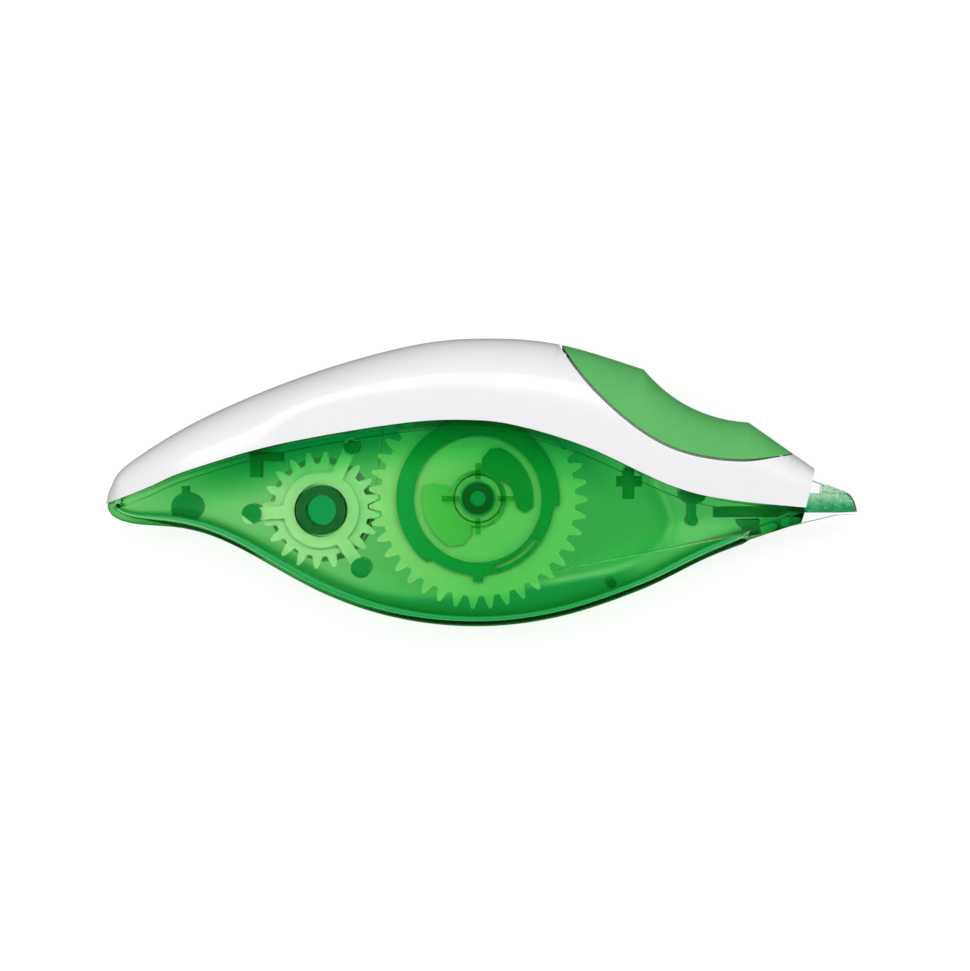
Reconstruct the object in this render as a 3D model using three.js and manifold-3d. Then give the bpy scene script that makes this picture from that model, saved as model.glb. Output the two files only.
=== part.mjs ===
// Correction tape roller, lying on its side.
// Units: millimetres. +X points to the applicator tip, +Y to the grip side, +Z out of the front face.
// The origin is the middle of the footprint, on the surface that the back face rests on.

import * as THREE from "three";
import { mergeVertices } from "three/addons/utils/BufferGeometryUtils.js";
import Module from "manifold-3d";

const wasm = await Module();
wasm.setup();

// ---------------------------------------------------------------- driving dimensions

const THICKNESS = 17; // case, between its two flat faces
const MIDDLE = THICKNESS / 2; // parting plane of the two shells
const GAP = 0.3; // clearance between neighbouring pieces
const SHELL_WALL = 1.5;
const COVER_WALL = 1.4;
const LEDGE_DEPTH = 1.2; // thick rim of the shells just below the cover
const TONGUE_RISE = 2.5; // how far the shells reach up inside the cover
const TONGUE_WALL = 0.9;
const PAD_WALL = 1.2; // rubber grip pad
const PAD_GAP = 0.4; // all round the pad in its recess
const SECTION_POWER = 3; // squareness of the case's cross-section

const MODULE = 0.9; // of the two gears
const DRIVE_TEETH = 39;
const TAKE_UP_TEETH = 20;
const GEAR_FACE = [11.5, 13.0]; // z of the gears' two faces
const DRIVE_CENTRE = new THREE.Vector2(-0.68, -2.72);
const TAKE_UP_BEARING = 184.2; // degrees, direction from the drive gear to the take-up gear

const TAPE_WIDTH = 5;
const TAPE_BAND = [MIDDLE - TAPE_WIDTH / 2, MIDDLE + TAPE_WIDTH / 2];
const TAPE_THICK = 0.3; // strands are drawn thicker than the real 0.05
const ROLL_RADIUS = 14; // full roll of fresh tape
const CORE_RADIUS = 8;
const FLANGE_RADIUS = 15;
const DRUM_RADIUS = 7.2; // take-up drum
const WINDING_RADIUS = 8; // used tape on the drum
const TAKE_UP_FLANGE_RADIUS = 9;
const FLANGE_Z = [4.9, 5.7]; // the flange of each spool, just behind the tape

const SUPPLY_AXLE_RADII = [1.3, 2.7];
const TAKE_UP_AXLE_RADII = [2.6, 4.2];
const RUNNING_GAP = 0.3; // between an axle and what turns on it
const POST_ENDS = [SHELL_WALL + GAP, THICKNESS - SHELL_WALL - GAP]; // full-height posts
const CLUTCH_FOOT = GEAR_FACE[1] + GAP; // z at which the clutch ring and its spring start
const CLUTCH_RING_TOP = 14.1;
const CLUTCH_SPRING_TOP = 13.9;
const RETAINER_Z = [GEAR_FACE[1] + 0.5, 14.2];
const CATCH_Z = [3, 14];

// Point at a distance from a centre, in a direction in degrees.
function polar(centre, radius, degrees) {
  const angle = THREE.MathUtils.degToRad(degrees);
  return new THREE.Vector2(centre.x + radius * Math.cos(angle), centre.y + radius * Math.sin(angle));
}

const pitchRadius = (teeth) => (teeth * MODULE) / 2;
const GEAR_SPACING = pitchRadius(DRIVE_TEETH) + pitchRadius(TAKE_UP_TEETH);
const TAKE_UP_CENTRE = polar(DRIVE_CENTRE, GEAR_SPACING, TAKE_UP_BEARING);

// ---------------------------------------------------------------- case outline, seen from the front

const NOSE = [-63.75, -3.7]; // rounded tail end of the case
const DIP_START = [27.4, 19.2]; // the finger dip runs between these two corners
const DIP_END = [45.2, 10.2];
const DIP_SAG = 2.15;
const MOUTH_TOP = [56.3, 2.4]; // slanted open end of the case
const MOUTH_BOTTOM = [53.9, -7.2];
const OVERRUN = 59; // the case is built past its slanted end, then cut

const SPINE_POINTS = [
  NOSE, [-62.9, -0.7], [-59.8, 3.3], [-47.1, 11.0], [-29.2, 18.4],
  [-11.0, 23.4], [2.6, 24.4], [14.1, 23.2], DIP_START,
];
const BELLY_POINTS = [
  NOSE, [-62.6, -5.7], [-59.0, -7.0], [-50.0, -7.9], [-42.0, -10.7], [-26.7, -18.9], [-13.9, -23.1],
  [-0.3, -24.4], [13.0, -22.8], [27.0, -18.2], [39.6, -12.2], [54.1, -7.1], [OVERRUN, -5.3],
];
const COVER_EDGE_POINTS = [
  [-66.0, -4.4], [-60.1, -2.3], [-55.6, -0.5], [-49.6, 2.0], [-34.3, 6.4], [-13.9, 9.9], [-2.0, 10.5],
  [6.5, 9.4], [18.0, 5.8], [32.0, -0.6], [42.2, -3.0], [OVERRUN, -4.6],
];
const PAD_EDGE_POINTS = [
  [13.6, 25.5], [13.9, 22.6], [19.2, 15.6], [26.9, 8.9], [34.5, 5.2], [43.9, 3.9], [52.9, 4.9],
];
const HALF_WIDTH_POINTS = [
  [-63.75, 1.2], [-62.5, 3.2], [-60.0, 4.6], [-50.0, 7.2], [-39.0, 8.7], [-27.0, 10.3],
  [0.0, 10.0], [18.0, 9.4], [35.0, 8.4], [45.0, 7.0], [OVERRUN, 5.2],
];

const vectors = (pairs) => pairs.map(([x, y]) => new THREE.Vector2(x, y));
const curveThrough = (pairs, pieces) => new THREE.SplineCurve(vectors(pairs)).getPoints(pieces);

// Height of a polyline at x. Its points run from left to right.
function heightAt(points, x) {
  const next = points.findIndex((p) => p.x >= x);
  if (next <= 0) return points[next === 0 ? 0 : points.length - 1].y;
  const [a, b] = [points[next - 1], points[next]];
  return THREE.MathUtils.lerp(a.y, b.y, (x - a.x) / (b.x - a.x));
}

// A polyline moved sideways by a distance, to its right when the distance is positive.
function movedSideways(points, distance) {
  return points.map((p, i) => {
    const [before, after] = [points[Math.max(i - 1, 0)], points[Math.min(i + 1, points.length - 1)]];
    const along = after.clone().sub(before).normalize();
    return new THREE.Vector2(p.x + along.y * distance, p.y - along.x * distance);
  });
}

// Points of the shallow arc that a finger rests in.
function fingerDip(steps) {
  const [start, end] = vectors([DIP_START, DIP_END]);
  const across = end.clone().sub(start);
  const drop = new THREE.Vector2(across.y, -across.x).normalize();
  const points = [];
  for (let i = 1; i <= steps; i += 1) {
    const t = i / steps;
    const sag = 4 * DIP_SAG * t * (1 - t);
    points.push(start.clone().addScaledVector(across, t).addScaledVector(drop, sag));
  }
  return points;
}

const MOUTH_SLOPE = (MOUTH_TOP[1] - DIP_END[1]) / (MOUTH_TOP[0] - DIP_END[0]);
const SPINE = [
  ...curveThrough(SPINE_POINTS, 48),
  ...fingerDip(6),
  new THREE.Vector2(OVERRUN, DIP_END[1] + MOUTH_SLOPE * (OVERRUN - DIP_END[0])),
];
const BELLY = curveThrough(BELLY_POINTS, 60);
const COVER_EDGE = curveThrough(COVER_EDGE_POINTS, 20);
const PAD_EDGE = curveThrough(PAD_EDGE_POINTS, 12);
const HALF_WIDTH = curveThrough(HALF_WIDTH_POINTS, 60);

// ---------------------------------------------------------------- solids

function toSolid(geometry) {
  geometry.deleteAttribute("normal");
  geometry.deleteAttribute("uv");
  const merged = mergeVertices(geometry, 1e-4);
  return new wasm.Manifold(new wasm.Mesh({
    numProp: 3,
    vertProperties: new Float32Array(merged.attributes.position.array),
    triVerts: new Uint32Array(merged.index.array),
  }));
}

function toGeometry(solid) {
  const mesh = solid.getMesh();
  const geometry = new THREE.BufferGeometry();
  geometry.setAttribute("position", new THREE.BufferAttribute(new Float32Array(mesh.vertProperties), 3));
  geometry.setIndex(new THREE.BufferAttribute(new Uint32Array(mesh.triVerts), 1));
  geometry.computeVertexNormals();
  return geometry;
}

// A flat outline in XY, raised from z0 to z1.
function prism(points, z0, z1, holes = []) {
  const shape = new THREE.Shape(points);
  shape.holes = holes.map((hole) => new THREE.Path(hole));
  const geometry = new THREE.ExtrudeGeometry(shape, { depth: z1 - z0, bevelEnabled: false, steps: 1 });
  geometry.translate(0, 0, z0);
  return toSolid(geometry);
}

function arcPoints(centre, radius, from, to, steps) {
  const points = [];
  for (let i = 0; i <= steps; i += 1) points.push(polar(centre, radius, from + ((to - from) * i) / steps));
  return points;
}

const circlePoints = (centre, radius, sides) => arcPoints(centre, radius, 0, 360, sides).slice(0, -1);

// A round post or disc with its axis along Z.
const disc = (centre, radius, z0, z1, sides = 20) => prism(circlePoints(centre, radius, sides), z0, z1);

// A round tube with its axis along Z.
const tube = (centre, inner, outer, z0, z1, sides = 28) =>
  prism(circlePoints(centre, outer, sides), z0, z1, [circlePoints(centre, inner, sides)]);

const box = (x0, x1, y0, y1, z0, z1) =>
  prism(vectors([[x0, y0], [x1, y0], [x1, y1], [x0, y1]]), z0, z1);

// The full case shape, shrunk on every side by an inset. It is a loft of squarish ovals along X,
// cut off flat at the front and the back. The two flat faces are where the ovals are cut.
function caseForm(inset) {
  const top = movedSideways(SPINE, inset);
  const bottom = movedSideways(BELLY, -inset);
  const start = NOSE[0] + inset + 0.06;
  const places = [0, 0.25, 0.8, 1.9, 3.6, 6.5].map((step) => start + step);
  for (let x = start + 11; x < DIP_START[0] - 3; x += 6.8) places.push(x);
  for (let i = 0; i <= 4; i += 1) places.push(THREE.MathUtils.lerp(DIP_START[0], DIP_END[0], i / 4));
  places.push(50.6 + inset * 0.3, OVERRUN);
  const sides = 24;
  const positions = [];
  places.forEach((x) => {
    const [high, low] = [heightAt(top, x), heightAt(bottom, x)];
    const half = Math.max((high - low) / 2, 0.05);
    const width = Math.max(heightAt(HALF_WIDTH, x - inset * 0.5) - inset, 0.3);
    for (let k = 0; k < sides; k += 1) {
      const angle = (2 * Math.PI * (k + 0.5)) / sides;
      const [c, s] = [Math.cos(angle), Math.sin(angle)];
      const round = (v) => Math.sign(v) * Math.abs(v) ** (2 / SECTION_POWER);
      positions.push(x, (high + low) / 2 + half * round(c), MIDDLE + width * round(s));
    }
  });
  const faces = [];
  for (let i = 0; i < places.length - 1; i += 1) {
    for (let k = 0; k < sides; k += 1) {
      const [a, b] = [i * sides + k, i * sides + ((k + 1) % sides)];
      if (k < sides / 2) faces.push(a, b, a + sides, b, b + sides, a + sides);
      else faces.push(a, b, b + sides, a, b + sides, a + sides);
    }
  }
  const last = (places.length - 1) * sides;
  for (let k = 1; k < sides - 1; k += 1) faces.push(0, k + 1, k, last, last + k, last + k + 1);
  const geometry = new THREE.BufferGeometry();
  geometry.setAttribute("position", new THREE.Float32BufferAttribute(positions, 3));
  geometry.setIndex(faces);
  return toSolid(geometry).intersect(box(-80, 80, -40, 40, inset, THICKNESS - inset));
}

// Cutters reach well past the case on every side.
const FAR = { x: 80, y: 40, z: [-1, THICKNESS + 1] };

// Everything above or below a line drawn from left to right, moved up by a rise.
const raised = (line, rise) => line.map((p) => new THREE.Vector2(p.x, p.y + rise));
const aboveLine = (line, rise) =>
  prism([...raised(line, rise), ...vectors([[FAR.x, FAR.y], [-FAR.x, FAR.y]])], ...FAR.z);
const belowLine = (line, rise) =>
  prism([...vectors([[-FAR.x, -FAR.y], [FAR.x, -FAR.y]]), ...raised(line, rise).reverse()], ...FAR.z);

// What lies behind the case's slanted mouth.
const MOUTH_LEAN = (MOUTH_TOP[0] - MOUTH_BOTTOM[0]) / (MOUTH_TOP[1] - MOUTH_BOTTOM[1]);
const mouthX = (y) => MOUTH_BOTTOM[0] + MOUTH_LEAN * (y - MOUTH_BOTTOM[1]);
const behindMouth = prism(vectors([
  [-FAR.x, -FAR.y], [mouthX(-FAR.y), -FAR.y], [mouthX(FAR.y), FAR.y], [-FAR.x, FAR.y],
]), ...FAR.z);

const outside = caseForm(0);
const shellInside = caseForm(SHELL_WALL);
const coverInside = caseForm(COVER_WALL);
const tongueOutside = caseForm(COVER_WALL + GAP);
const tongueInside = caseForm(COVER_WALL + GAP + TONGUE_WALL);
const padSeat = caseForm(PAD_WALL + PAD_GAP);
const padInside = caseForm(PAD_WALL);
const coverUnderPad = caseForm(PAD_WALL + PAD_GAP + COVER_WALL);
const clearOfWalls = caseForm(SHELL_WALL + GAP)
  .intersect(belowLine(COVER_EDGE, -LEDGE_DEPTH - 2 * GAP))
  .add(caseForm(COVER_WALL + TONGUE_WALL + 2 * GAP));

// ---------------------------------------------------------------- case pieces

// The grip pad's area, grown by a spread on all three sides.
function padPatch(spread) {
  const edge = movedSideways(PAD_EDGE, spread);
  const [first, last] = [edge[0], edge[edge.length - 1]];
  const corners = vectors([[last.x + spread, last.y], [last.x + spread, FAR.y], [first.x, FAR.y]]);
  return prism([...edge, ...corners], ...FAR.z);
}

// Slot in the lower edge of both shells, through which the tape leaves on its way to the tip.
const TAPE_SLOT = { x: [42, 60], y: [-14, -3], z: [TAPE_BAND[0] - 0.9, TAPE_BAND[1] + 0.9] };

// Both green shells as one, before they are parted: the wall up to the cover's edge, a thick rim just
// below that edge, and a tongue that reaches up inside the cover.
function shellPair() {
  const blank = outside.intersect(belowLine(COVER_EDGE, -GAP))
    .add(tongueOutside.intersect(belowLine(COVER_EDGE, TONGUE_RISE)));
  const hollow = shellInside.intersect(belowLine(COVER_EDGE, -LEDGE_DEPTH - GAP)).add(tongueInside);
  const tapeSlot = box(...TAPE_SLOT.x, ...TAPE_SLOT.y, ...TAPE_SLOT.z);
  return blank.intersect(behindMouth).subtract(hollow.add(tapeSlot));
}

// Short ribs around the supply axle, on the inside of the front shell.
function hubRibs() {
  const reach = 6;
  const halfRib = 0.45;
  const z = [14.7, THICKNESS - SHELL_WALL / 2];
  const { x, y } = DRIVE_CENTRE;
  const start = SUPPLY_AXLE_RADII[1] + 2 * GAP;
  return box(x + start, x + reach, y - halfRib, y + halfRib, ...z)
    .add(box(x - reach, x - start, y - halfRib, y + halfRib, ...z))
    .add(box(x - halfRib, x + halfRib, y + start, y + reach, ...z))
    .add(box(x - halfRib, x + halfRib, y - reach, y - start, ...z));
}

const bothShells = shellPair();
const slice = (z0, z1) => box(-FAR.x, FAR.x, -FAR.y, FAR.y, z0, z1);
const frontShell = () => bothShells.intersect(slice(MIDDLE + GAP / 2, THICKNESS)).add(hubRibs());
const backShell = () => bothShells.intersect(slice(0, MIDDLE - GAP / 2));

// The white cover straddles both shells. Under the grip pad its wall steps inwards.
function spineCover() {
  const hollow = coverInside.subtract(padPatch(COVER_WALL)).add(coverUnderPad);
  const recess = padPatch(PAD_GAP).subtract(padSeat);
  const blank = outside.intersect(aboveLine(COVER_EDGE, 0)).intersect(behindMouth);
  return blank.subtract(hollow).subtract(recess);
}

const gripPad = () => outside.intersect(padPatch(0)).intersect(behindMouth).subtract(padInside);

// ---------------------------------------------------------------- gears and spools

// Outline of a spur gear. The first tooth is centred on the bearing, or its first gap is.
function gearOutline(centre, teeth, bearing, gapFirst) {
  const pitch = pitchRadius(teeth);
  const quarter = 90 / teeth; // degrees, a quarter of one tooth's share of the circle
  const flank = [ // radius, and half angle of the tooth there as a share of the quarter
    [pitch - 1.22 * MODULE, 1.34], [pitch, 0.86], [pitch + MODULE, 0.34],
  ];
  const points = [];
  for (let i = 0; i < teeth; i += 1) {
    const middle = bearing + (i + (gapFirst ? 0.5 : 0)) * 4 * quarter;
    const side = (sign) => flank.map(
      ([radius, share]) => polar(centre, radius, middle + sign * share * quarter),
    );
    points.push(...side(-1), ...side(1).reverse());
  }
  return points;
}

const DRIVE_BORE = 4.7;

const driveGear = () => prism(
  gearOutline(DRIVE_CENTRE, DRIVE_TEETH, TAKE_UP_BEARING, false), ...GEAR_FACE,
  [circlePoints(DRIVE_CENTRE, DRIVE_BORE, 32)],
);

// Moves a solid that was made round the origin to the drive gear's axis.
const onDriveAxis = (solid) => solid.translate([DRIVE_CENTRE.x, DRIVE_CENTRE.y, 0]);

// The clutch ring stands on the drive gear. The spring wings rub on its inner side. It is wide over its
// top and left, and slit at its lower right, where it can give.
function clutchRing() {
  const [inner, outer, lobe] = [10.8, 12.9, 13.8];
  const z = [CLUTCH_FOOT, CLUTCH_RING_TOP];
  const wide = [
    ...arcPoints(DRIVE_CENTRE, lobe, -5, 232, 36),
    ...arcPoints(DRIVE_CENTRE, inner + 0.5, 232, -5, 36),
  ];
  const slit = prism([
    ...arcPoints(DRIVE_CENTRE, outer - 0.7, -76, -34, 8),
    ...arcPoints(DRIVE_CENTRE, inner + 0.6, -34, -76, 8),
  ], ...z);
  const keyHalf = 0.85;
  const key = onDriveAxis(box(-keyHalf, keyHalf, -lobe - 0.2, -inner - 0.2, ...z));
  return tube(DRIVE_CENTRE, inner, outer, ...z, 44).add(prism(wide, ...z)).add(key).subtract(slit);
}

// Slip clutch spring: a hub on the supply core and two wings. The broad one curls round at the upper right,
// and the fan-shaped one spreads at the lower left. Their outlines are radius and direction in degrees.
function clutchSpring() {
  const z = [CLUTCH_FOOT, CLUTCH_SPRING_TOP];
  const [root, rim] = [4.5, 9.4];
  const corners = (pairs) => pairs.map(([radius, degrees]) => polar(DRIVE_CENTRE, radius, degrees));
  const broadWing = [
    ...corners([[root, 48], [5.3, 36], [6.0, 18], [6.2, 0], [6.9, -14], [8.3, -16]]),
    ...arcPoints(DRIVE_CENTRE, rim, -9, 66, 14),
    ...corners([[8.7, 76], [7.0, 83], [root, 86]]),
  ];
  const fanWing = [
    ...corners([[5.6, 156], [8.0, 161]]),
    ...arcPoints(DRIVE_CENTRE, rim, 166, 238, 14),
    ...corners([[8.2, 252], [5.9, 260]]),
    ...arcPoints(DRIVE_CENTRE, root, 254, 168, 10),
  ];
  return tube(DRIVE_CENTRE, 4.2, 4.8, ...z, 28).add(prism(broadWing, ...z)).add(prism(fanWing, ...z));
}

// A turned shape from radius and height pairs, about a centre.
function turned(centre, profile, sides = 40) {
  const outline = [...profile, profile[0]].map(([radius, z]) => new THREE.Vector2(radius, z));
  const geometry = new THREE.LatheGeometry(outline, sides);
  geometry.rotateX(Math.PI / 2);
  geometry.translate(centre.x, centre.y, 0);
  return toSolid(geometry);
}

// Core of the tape roll: a flange, a barrel that the roll sits on, and a sleeve that carries the clutch
// spring.
function supplyCore() {
  const bore = SUPPLY_AXLE_RADII[1] + RUNNING_GAP;
  const sleeve = DRIVE_BORE - RUNNING_GAP;
  const neck = 3.9; // inside the clutch spring
  const barrelInside = CORE_RADIUS - 1;
  const barrelTop = TAPE_BAND[1] + 0.2;
  const floor = FLANGE_Z[1] + 0.2;
  return turned(DRIVE_CENTRE, [
    [bore, FLANGE_Z[0]], [FLANGE_RADIUS, FLANGE_Z[0]], [FLANGE_RADIUS, FLANGE_Z[1]],
    [CORE_RADIUS, FLANGE_Z[1]], [CORE_RADIUS, barrelTop], [barrelInside, barrelTop], [barrelInside, floor],
    [sleeve, floor], [sleeve, GEAR_FACE[1]], [neck, GEAR_FACE[1]], [neck, CLUTCH_SPRING_TOP],
    [bore, CLUTCH_SPRING_TOP],
  ]);
}

const tapeRoll = () => tube(DRIVE_CENTRE, CORE_RADIUS + GAP, ROLL_RADIUS, ...TAPE_BAND, 48);

// Take-up gear and drum, moulded as one.
function takeUpGear() {
  const bore = TAKE_UP_AXLE_RADII[1] + RUNNING_GAP;
  const outline = gearOutline(TAKE_UP_CENTRE, TAKE_UP_TEETH, TAKE_UP_BEARING + 180, true);
  const gear = prism(outline, ...GEAR_FACE, [circlePoints(TAKE_UP_CENTRE, bore, 28)]);
  const drumEnds = [FLANGE_Z[0] + GAP, GEAR_FACE[0] + 0.5];
  return gear.add(tube(TAKE_UP_CENTRE, bore, DRUM_RADIUS, ...drumEnds, 32))
    .add(tube(TAKE_UP_CENTRE, bore, TAKE_UP_FLANGE_RADIUS, ...FLANGE_Z, 32));
}

const usedTapeWinding = () => tube(TAKE_UP_CENTRE, DRUM_RADIUS + GAP, WINDING_RADIUS, ...TAPE_BAND, 40);

// ---------------------------------------------------------------- posts and small parts of the case

const RETAINER_POSTS = {
  left: { at: new THREE.Vector2(-38.8, -5.3), radius: 1.7 },
  upper: { at: new THREE.Vector2(-22.0, 6.2), radius: 1.35 },
  lower: { at: new THREE.Vector2(-20.4, -14.4), radius: 1.7 },
};

const NECK_SHARE = 0.45; // of a post's radius, where it passes through the plate

// Three-armed plate in front of the take-up gear. It keeps the gear on its axle. The necks of its posts
// pass through the ends of its arms.
function takeUpRetainer() {
  const [plateRadius, armHalf] = [6.4, 1.05];
  let plate = disc(TAKE_UP_CENTRE, plateRadius, ...RETAINER_Z, 32);
  let holes = disc(TAKE_UP_CENTRE, TAKE_UP_AXLE_RADII[1] + GAP, 0, THICKNESS, 28);
  Object.values(RETAINER_POSTS).forEach(({ at, radius }) => {
    const reach = at.clone().sub(TAKE_UP_CENTRE);
    const side = new THREE.Vector2(-reach.y, reach.x).normalize().multiplyScalar(armHalf);
    const ends = [[TAKE_UP_CENTRE, 1], [TAKE_UP_CENTRE, -1], [at, -1], [at, 1]];
    const arm = ends.map(([end, sign]) => end.clone().addScaledVector(side, sign));
    plate = plate.add(prism(arm, ...RETAINER_Z)).add(disc(at, radius, ...RETAINER_Z));
    holes = holes.add(disc(at, radius * NECK_SHARE + GAP, 0, THICKNESS));
  });
  return plate.subtract(holes).intersect(clearOfWalls);
}

// Post with a head in front of the retainer and a thin neck through it.
function retainerPost({ at, radius }) {
  return disc(at, radius, POST_ENDS[0], RETAINER_Z[0] - GAP, 18)
    .add(disc(at, radius * NECK_SHARE, ...POST_ENDS, 14))
    .add(disc(at, radius, RETAINER_Z[1] + GAP, POST_ENDS[1], 18)).intersect(clearOfWalls);
}

const UPPER_GUIDES = { front: new THREE.Vector2(16.5, 13.0), rear: new THREE.Vector2(-14.5, 15.0) };
const GUIDE_RADIUS = 1.0;
const MOUTH_GUIDE = { at: new THREE.Vector2(52.7, -6.0), radius: 0.9 };
const TIP_REST = { at: new THREE.Vector2(45.1, -6.3), radius: 1.9 };
const BRACKET_BOSS = { at: new THREE.Vector2(35.7, -1.3), radius: 2.4 };
const BRACKET_PIN = { at: new THREE.Vector2(35.5, -6.4), radius: 0.95 };
const TAIL_POST = { at: new THREE.Vector2(-49.9, -4.3), radius: 2.6 };
const BELLY_PIN = { at: new THREE.Vector2(21.9, -17.0), radius: 0.85 };

// Post and foot that hold the rear end of the tip's stem, joined by a bar.
function tipBracket() {
  const half = 0.6;
  const { at: pin } = BRACKET_PIN;
  const bar = box(pin.x - half, pin.x + half, pin.y, BRACKET_BOSS.at.y, ...POST_ENDS);
  return disc(BRACKET_BOSS.at, BRACKET_BOSS.radius, ...POST_ENDS, 24)
    .add(disc(pin, BRACKET_PIN.radius, ...POST_ENDS, 14)).add(bar).intersect(clearOfWalls);
}

// Half-round rest that the stem of the tip lies on.
const tipRest = () => prism(arcPoints(TIP_REST.at, TIP_REST.radius, 180, 360, 12), ...POST_ENDS)
  .intersect(clearOfWalls);

const mouthGuide = () => disc(MOUTH_GUIDE.at, MOUTH_GUIDE.radius, TAPE_BAND[0] - 0.6, TAPE_BAND[1] + 0.6, 14);

// Cross-shaped and L-shaped catches that hold the cover.
const coverCatchFront = () =>
  box(24.0, 25.7, -2.8, 2.4, ...CATCH_Z).add(box(22.9, 27.0, -0.7, 1.1, ...CATCH_Z));
const coverCatchRear = () =>
  box(-39.1, -33.8, 3.6, 5.2, ...CATCH_Z).add(box(-39.1, -37.4, 0.9, 4.4, ...CATCH_Z));

const tailPost = () => disc(TAIL_POST.at, TAIL_POST.radius, ...POST_ENDS, 24)
  .add(box(-50.6, -49.8, -3.0, -0.6, ...POST_ENDS)).intersect(clearOfWalls);

const bellyPin = () => disc(BELLY_PIN.at, BELLY_PIN.radius, ...POST_ENDS, 12).intersect(clearOfWalls);

// ---------------------------------------------------------------- applicator tip and tape

// Wedge with a sharp edge, two side flanges that steer the tape, and a stem that reaches into the case.
function applicatorTip() {
  const wedge = vectors([[55, -5.1], [60.6, -5.1], [63.15, -5.0], [62.7, -3.4], [61.6, -2.1], [55, -1.7]]);
  const flange = vectors([
    [57.6, -5.0], [62.2, -4.9], [62.6, -3.4], [61.9, -1.7], [58.6, -0.4], [57.6, -0.4],
  ]);
  const stem = vectors([
    [39.1, -5.9], [50.2, -5.9], [51.4, -4.8], [56, -4.8], [56, -3.2], [52, -4.0], [39.1, -4.0],
  ]);
  const flangeWall = 0.7;
  const [low, high] = [TAPE_BAND[0] - 0.2, TAPE_BAND[1] + 0.2];
  return prism(wedge, low, high)
    .add(prism(flange, low - flangeWall, low + 0.05)).add(prism(flange, high - 0.05, high + flangeWall))
    .add(prism(stem, low + 0.5, high - 0.5));
}

// A ribbon that stands on edge and follows a line in XY.
function ribbon(points) {
  const half = TAPE_THICK / 2;
  const outline = [...movedSideways(points, half), ...movedSideways(points, -half).reverse()];
  return prism(outline, ...TAPE_BAND);
}

// Tape laid round a guide, with the gap that keeps the pieces apart.
const wrap = (centre, radius, from, to, steps) =>
  arcPoints(centre, radius + GAP + TAPE_THICK / 2, from, to, steps);
const touch = (centre, radius, angle) => wrap(centre, radius, angle, angle, 1)[0];

// From the lower side of the roll, under the tip rest and the mouth guide, to the edge of the tip.
const freshTapeStrand = () => ribbon([
  ...wrap(DRIVE_CENTRE, ROLL_RADIUS, 262, 281, 3),
  touch(TIP_REST.at, TIP_REST.radius - 0.1, 280),
  touch(MOUTH_GUIDE.at, MOUTH_GUIDE.radius - 0.1, 282),
  ...vectors([[60.4, -5.5], [63.0, -5.42]]),
]);

// From the edge of the tip, over it and over the guides under the cover, down to the take-up drum.
const usedTapeStrand = () => ribbon([
  ...vectors([[63.55, -4.95], [63.1, -3.2], [61.9, -1.7], [60.0, -1.1]]),
  ...wrap(UPPER_GUIDES.front, GUIDE_RADIUS, 71, 86, 1),
  ...wrap(UPPER_GUIDES.rear, GUIDE_RADIUS, 90, 170, 4),
  ...wrap(TAKE_UP_CENTRE, WINDING_RADIUS, -10, -40, 2),
]);

// ---------------------------------------------------------------- assembly

const finish = (color, roughness, extra = {}) => () =>
  new THREE.MeshStandardMaterial({ color, roughness, metalness: 0, ...extra });

const FINISHES = {
  greenShell: finish(0x3faf45, 0.12, { transparent: true, opacity: 0.55 }),
  greenMoulding: finish(0x0f8a43, 0.3),
  whiteCover: finish(0xf0f0f2, 0.25),
  greenRubber: finish(0x4fae55, 0.75),
  clearTip: finish(0xbfe8c4, 0.1, { transparent: true, opacity: 0.5 }),
  whiteMoulding: finish(0xe9efe6, 0.4),
  whiteTape: finish(0xfafafa, 0.6),
  tapeLiner: finish(0xe4e8e2, 0.3, { transparent: true, opacity: 0.6 }),
};

const object = new THREE.Group();

function place(parent, name, solid, makeMaterial) {
  const mesh = new THREE.Mesh(toGeometry(solid), makeMaterial());
  mesh.name = name;
  parent.add(mesh);
}

const housing = new THREE.Group();
place(housing, "front_shell", frontShell(), FINISHES.greenShell);
place(housing, "back_shell", backShell(), FINISHES.greenShell);
place(housing, "spine_cover", spineCover(), FINISHES.whiteCover);
place(housing, "grip_pad", gripPad(), FINISHES.greenRubber);
place(housing, "applicator_tip", applicatorTip(), FINISHES.clearTip);

const posts = new THREE.Group();
const supplyAxle = tube(DRIVE_CENTRE, ...SUPPLY_AXLE_RADII, ...POST_ENDS, 24);
const takeUpAxle = tube(TAKE_UP_CENTRE, ...TAKE_UP_AXLE_RADII, ...POST_ENDS, 28);
place(posts, "supply_axle", supplyAxle, FINISHES.greenMoulding);
place(posts, "take_up_axle", takeUpAxle, FINISHES.greenMoulding);
place(posts, "take_up_retainer", takeUpRetainer(), FINISHES.whiteMoulding);
Object.entries(RETAINER_POSTS).forEach(([side, post]) => {
  place(posts, `retainer_post_${side}`, retainerPost(post), FINISHES.greenMoulding);
});
Object.entries(UPPER_GUIDES).forEach(([side, at]) => {
  place(posts, `tape_guide_${side}`, disc(at, GUIDE_RADIUS, ...POST_ENDS, 14).intersect(clearOfWalls),
    FINISHES.greenMoulding);
});
place(posts, "mouth_guide", mouthGuide(), FINISHES.greenMoulding);
place(posts, "tip_rest", tipRest(), FINISHES.greenMoulding);
place(posts, "tip_bracket", tipBracket(), FINISHES.greenMoulding);
place(posts, "cover_catch_front", coverCatchFront(), FINISHES.greenMoulding);
place(posts, "cover_catch_rear", coverCatchRear(), FINISHES.greenMoulding);
place(posts, "tail_post", tailPost(), FINISHES.greenMoulding);
place(posts, "belly_pin", bellyPin(), FINISHES.greenMoulding);

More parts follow.
